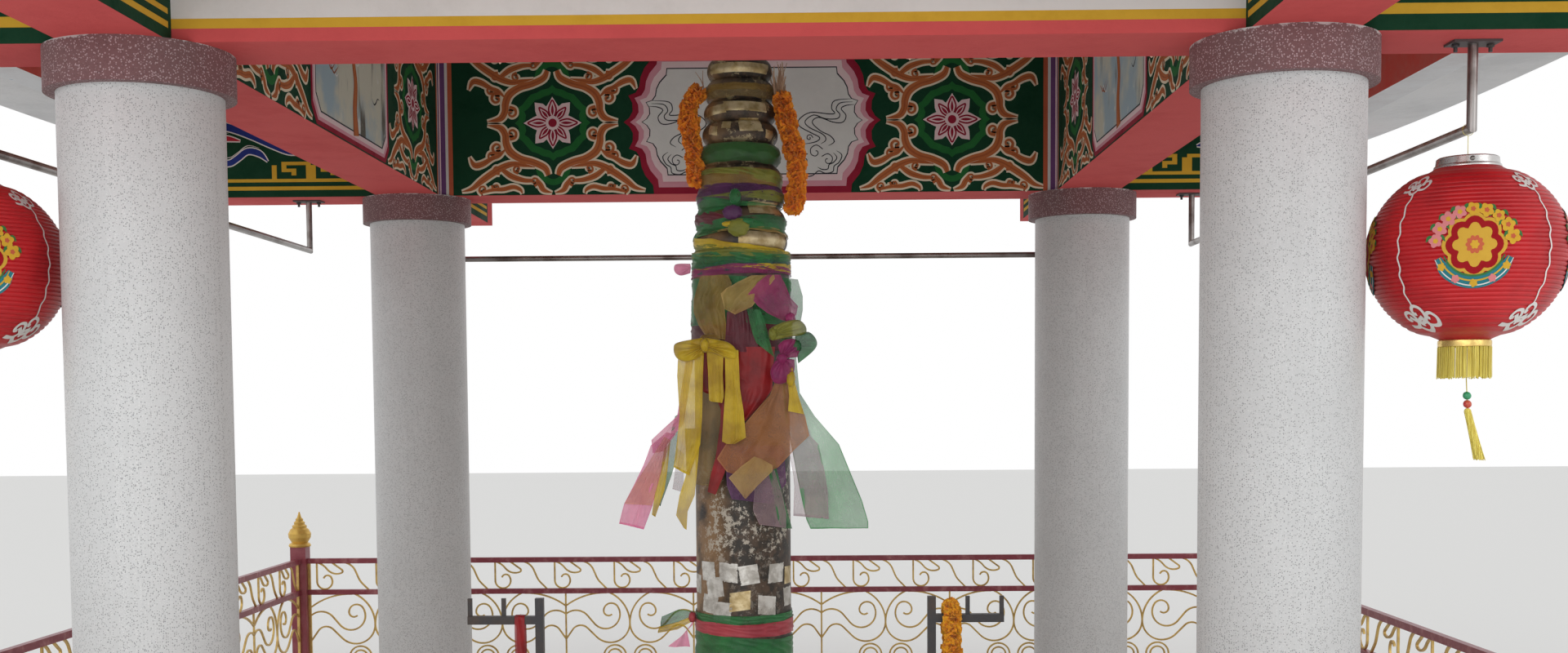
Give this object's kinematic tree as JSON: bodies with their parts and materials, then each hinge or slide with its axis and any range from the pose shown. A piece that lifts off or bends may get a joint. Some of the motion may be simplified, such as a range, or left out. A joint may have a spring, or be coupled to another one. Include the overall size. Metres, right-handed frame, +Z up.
{
  "type": "city pillar shrine",
  "caption": "Open square pavilion on round columns with painted crossing beams around a ringed, cloth-wrapped city pillar, with hanging lanterns and a low railing.",
  "frame": {"origin": "ground level at the centre of the pavilion's plan", "axes": "+Z up, -Y towards the entrance, +X to the right seen from the entrance"},
  "size_m": [5.64, 5.64, 4.58],
  "materials": {
    "column_terrazzo": "ground terrazzo",
    "collar_terrazzo": "washed terrazzo",
    "painted_beam": "matt paint on concrete",
    "white_plaster": "painted plaster",
    "coral_paint": "matt paint on concrete",
    "roof_tile": "glazed tile",
    "roof_ridge": "glazed tile",
    "gold_paint": "satin paint",
    "floor_tile": "matt tile",
    "pillar_lacquer": "dark lacquer with leaf squares",
    "green_cloth": "sheer organza",
    "yellow_cloth": "sheer organza",
    "pink_cloth": "sheer organza",
    "red_cloth": "sheer organza",
    "peach_cloth": "sheer organza",
    "marigold_orange": "petals",
    "marigold_yellow": "petals",
    "black_steel": "brushed-on paint",
    "stainless_tube": "brushed",
    "maroon_steel": "gloss paint",
    "lantern_nylon": "ribbed nylon",
    "lantern_silver": "bright sheet metal",
    "lantern_fringe": "thread"
  },
  "bodies": {
    "pavilion": {"beam_back": "painted_beam", "beam_front": "painted_beam", "beam_left": "painted_beam", "beam_right": "painted_beam", "ceiling_slab": "white_plaster", "city_pillar": "pillar_lacquer", "cloth_bands": "green_cloth", "cloth_knots": "yellow_cloth", "cloth_sash": "green_cloth", "cloth_tail_front": "red_cloth", "cloth_tail_left": "pink_cloth", "cloth_tail_right": "green_cloth", "cloth_tail_veil": "peach_cloth", "cloth_tail_yellow": "yellow_cloth", "cloth_wraps": "green_cloth", "collar_back_left": "collar_terrazzo", "collar_back_right": "collar_terrazzo", "collar_front_left": "collar_terrazzo", "collar_front_right": "collar_terrazzo", "column_back_left": "column_terrazzo", "column_back_right": "column_terrazzo", "column_front_left": "column_terrazzo", "column_front_right": "column_terrazzo", "eaves_front_back": "white_plaster", "eaves_sides": "white_plaster", "edge_beams_front_back": "coral_paint", "edge_beams_sides": "coral_paint", "garland_left": "marigold_orange", "garland_right": "marigold_orange", "hip_ridges": "roof_ridge", "pillar_base": "floor_tile", "platform": "floor_tile", "rack_garland": "marigold_yellow", "rack_left": "black_steel", "rack_ribbon": "red_cloth", "rack_right": "black_steel", "rail_back": "stainless_tube", "rail_left": "stainless_tube", "rail_right": "stainless_tube", "railing_back": "maroon_steel", "railing_finials": "gold_paint", "railing_front_left": "maroon_steel", "railing_front_right": "maroon_steel", "railing_left": "maroon_steel", "railing_posts": "maroon_steel", "railing_right": "maroon_steel", "roof_finial": "gold_paint", "roof_slope_back": "roof_tile", "roof_slope_front": "roof_tile", "roof_slope_left": "roof_tile", "roof_slope_right": "roof_tile", "roof_tiles_front_back": "roof_tile", "roof_tiles_sides": "roof_tile"},
    "lantern_left": {"lantern_left_cap": "lantern_silver", "lantern_left_shade": "lantern_nylon", "lantern_left_tassel": "lantern_fringe"},
    "lantern_right": {"lantern_right_cap": "lantern_silver", "lantern_right_shade": "lantern_nylon", "lantern_right_tassel": "lantern_fringe"}
  },
  "joints": [
    {"name": "lantern_left_swing", "type": "hinge", "parent": "pavilion", "child": "lantern_left", "pos_m": [-1.925, -1.43, 2.218], "axis": [1, 0, 0], "range_deg": [-18, 18]},
    {"name": "lantern_right_swing", "type": "hinge", "parent": "pavilion", "child": "lantern_right", "pos_m": [1.925, -1.43, 2.218], "axis": [1, 0, 0], "range_deg": [-18, 18]}
  ]
}
